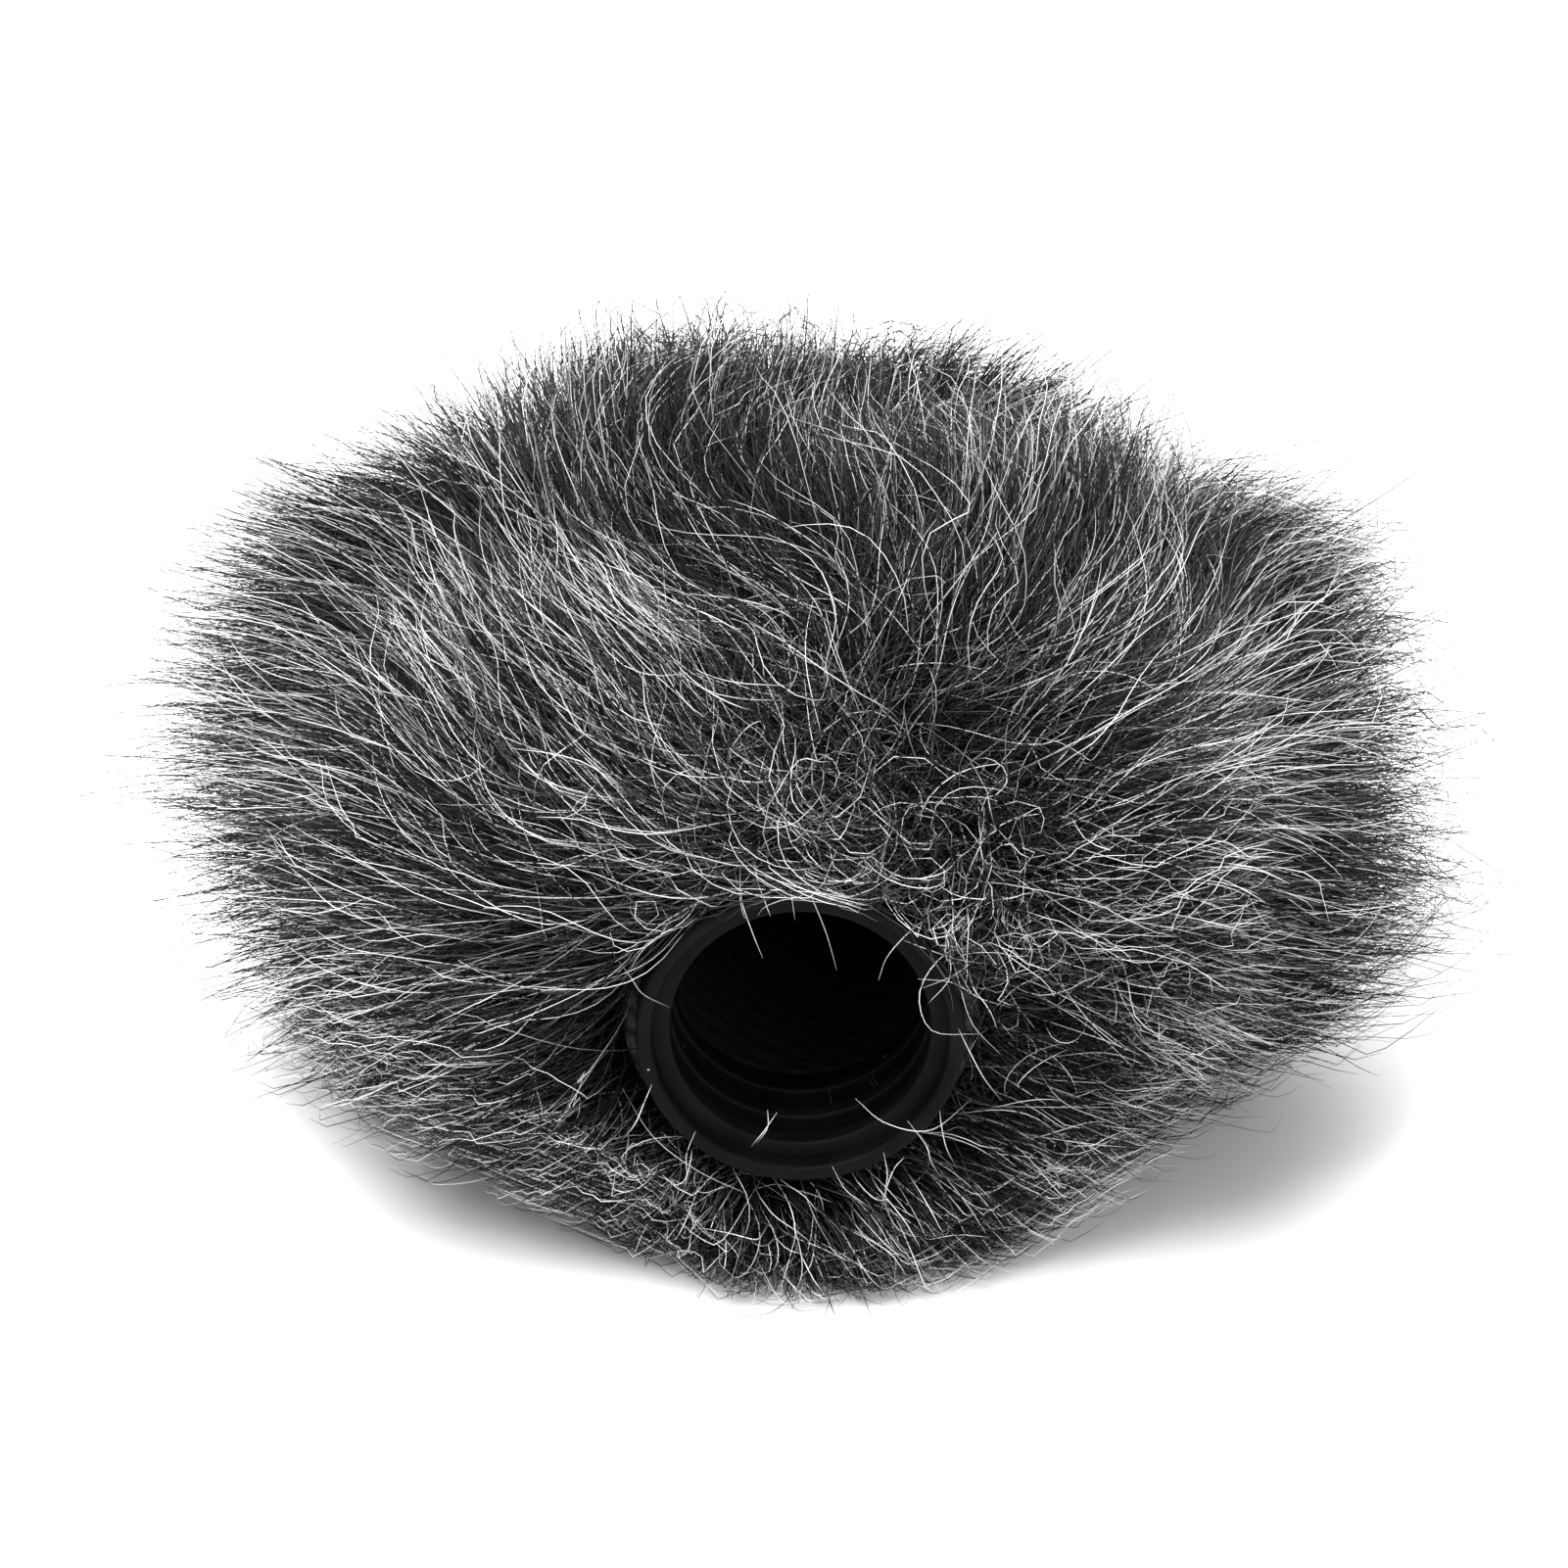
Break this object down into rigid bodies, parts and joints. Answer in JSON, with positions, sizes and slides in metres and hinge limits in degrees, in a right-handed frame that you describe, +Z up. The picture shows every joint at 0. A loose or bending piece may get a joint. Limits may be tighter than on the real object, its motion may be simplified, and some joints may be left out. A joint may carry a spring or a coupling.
{
  "type": "furry windscreen",
  "caption": "Slip-on furry microphone windscreen: long-pile fur cover over a foam core with a soft rubber collar that grips the microphone body.",
  "frame": {"origin": "on the tunnel's axis, at the front face of the collar's first grip rib", "axes": "-Y points out of the collar's mouth, +Y runs along the tunnel to the nose, +Z is up from the surface that the fur lies on"},
  "size_m": [0.107, 0.0901, 0.06],
  "materials": {
    "rubber": "matte black moulded rubber",
    "elastic": "round black elastic cord",
    "binding": "black woven tape",
    "thread": "black polyester thread",
    "foam": "open-cell charcoal foam",
    "mesh": "black warp-knit mesh",
    "sock": "black spacer knit",
    "backing": "black knitted fur backing",
    "fur": "long black pile with silver-white tips"
  },
  "bodies": {
    "root": {"rubber_collar": "rubber", "hem_elastic": "elastic", "hem_binding": "binding", "hem_thread": "thread", "foam_core": "foam", "foam_nose": "foam", "tunnel_liner": "mesh", "tunnel_end_pad": "mesh", "inner_sock": "sock", "base_panel": "backing", "side_panel": "backing", "nose_panel": "backing", "base_seam_thread": "thread", "nose_seam_thread": "thread", "side_seam_thread": "thread", "base_pile": "fur", "side_pile": "fur", "nose_pile": "fur"}
  },
  "joints": []
}
